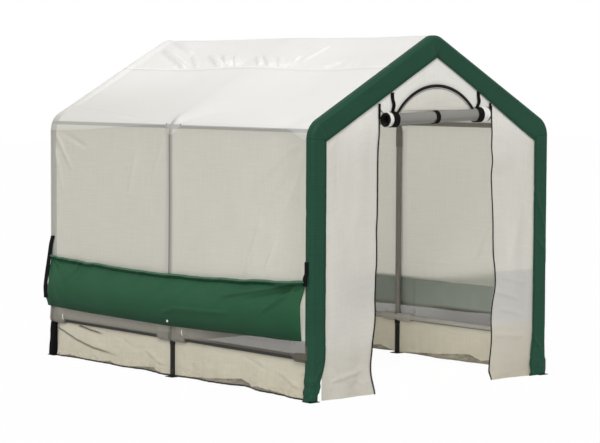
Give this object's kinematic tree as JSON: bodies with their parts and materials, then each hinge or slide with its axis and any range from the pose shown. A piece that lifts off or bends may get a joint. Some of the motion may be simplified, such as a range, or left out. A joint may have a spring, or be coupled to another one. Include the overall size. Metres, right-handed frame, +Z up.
{
  "type": "walk-in polytunnel greenhouse with a gable roof",
  "caption": "Small walk-in garden greenhouse: grey tube frame, white translucent fabric cover with green trim and side vent flaps, and a rolled-up front door",
  "frame": {"origin": "on the ground, under the middle of the whole outline, the roll and foot plates included", "axes": "+Z up, the doorway faces -Y, +X to the right seen from the front"},
  "size_m": [1.8428, 2.5989, 1.981],
  "materials": {
    "frame_tube": "grey powder coat, satin",
    "frame_fitting": "grey powder coat, satin",
    "foot_plate": "dark powder coat, scuffed",
    "roof_fabric": "white translucent woven polyethylene",
    "wall_fabric": "translucent woven polyethylene",
    "screen_mesh": "grey insect mesh",
    "green_fabric": "dark green woven polyethylene",
    "strap_webbing": "black webbing",
    "zip_plastic": "black coil zip"
  },
  "bodies": {
    "root": {"front_legs": "frame_tube", "middle_legs": "frame_tube", "rear_legs": "frame_tube", "front_rafters": "frame_tube", "middle_rafters": "frame_tube", "rear_rafters": "frame_tube", "ridge_poles": "frame_tube", "left_eave_poles": "frame_tube", "right_eave_poles": "frame_tube", "left_rails": "frame_tube", "right_rails": "frame_tube", "front_eave_bends": "frame_fitting", "middle_eave_bends": "frame_fitting", "rear_eave_bends": "frame_fitting", "ridge_fittings": "frame_fitting", "rail_fittings": "frame_fitting", "foot_plates": "foot_plate", "ridge_cover": "roof_fabric", "left_roof_cover": "roof_fabric", "right_roof_cover": "roof_fabric", "left_wall_cover": "wall_fabric", "right_wall_cover": "wall_fabric", "left_skirts": "wall_fabric", "right_skirts": "wall_fabric", "front_left_panel": "wall_fabric", "front_right_panel": "wall_fabric", "front_gable_panel": "wall_fabric", "rear_panel": "wall_fabric", "front_vent_flap": "wall_fabric", "rear_vent_flap": "wall_fabric", "door_roll": "wall_fabric", "left_vent_screen": "screen_mesh", "right_vent_screen": "screen_mesh", "gable_vent_screens": "screen_mesh", "left_vent_flap": "green_fabric", "right_vent_flap": "green_fabric", "left_leg_trim": "green_fabric", "right_leg_trim": "green_fabric", "left_rake_trim": "green_fabric", "right_rake_trim": "green_fabric", "flap_straps": "strap_webbing", "roll_straps": "strap_webbing", "door_zips": "zip_plastic", "gable_vent_zips": "zip_plastic"}
  },
  "joints": []
}
